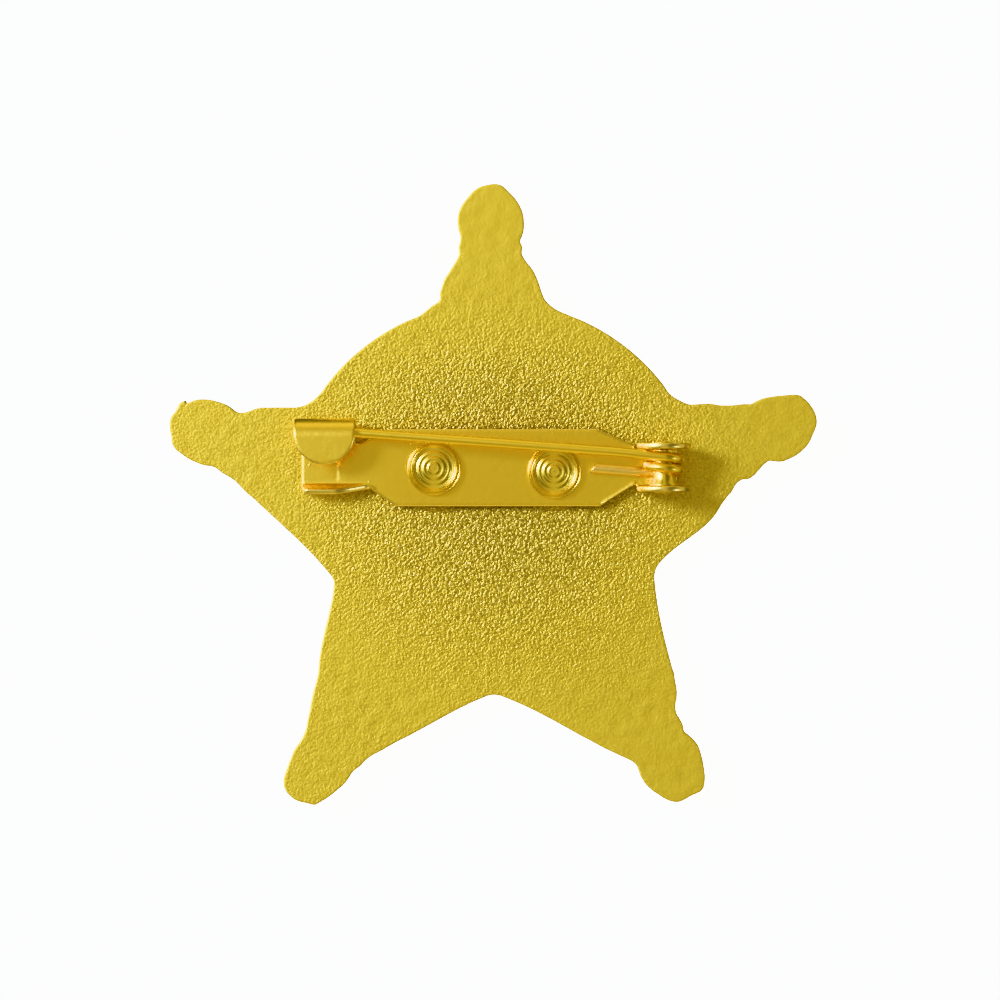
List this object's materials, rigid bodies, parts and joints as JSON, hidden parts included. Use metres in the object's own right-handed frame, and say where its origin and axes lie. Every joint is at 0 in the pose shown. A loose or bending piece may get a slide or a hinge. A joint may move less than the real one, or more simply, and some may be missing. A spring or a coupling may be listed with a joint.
{
  "type": "star badge with brooch pin",
  "caption": "Star badge with ball tips, lying face down: its flat cast back carries a riveted bar plate with a hinged spring pin, guard flange and rolled catch.",
  "frame": {"origin": "under the middle of the star's outline, at the level of the medallion rim on which the badge lies", "axes": "+X towards the pin's hinge, +Y towards the top arm of the star, +Z out of the back, away from the front of the badge"},
  "size_m": [0.0518, 0.0496, 0.0075],
  "materials": {
    "cast_gold": "gold plating with a fine orange-peel grain on a die-cast plate",
    "fitting_gold": "satin gold plating on folded sheet steel",
    "rivet_gold": "spun gold-plated rivet metal with fine rings",
    "wire_gold": "bright gold plating on drawn spring wire"
  },
  "bodies": {
    "root": {"badge_body": "cast_gold", "bar_plate": "fitting_gold", "rivet_left": "rivet_gold", "rivet_right": "rivet_gold", "hinge_rivet": "rivet_gold", "spring_tail": "wire_gold"},
    "pin": {"pin_arm": "wire_gold"}
  },
  "joints": [
    {"name": "pin_hinge", "type": "hinge", "parent": "root", "child": "pin", "pos_m": [0.01355, 0.00213, 0.0054], "axis": [0, 1, 0], "range_deg": [0, 75], "deforming": ["spring_tail"]}
  ]
}
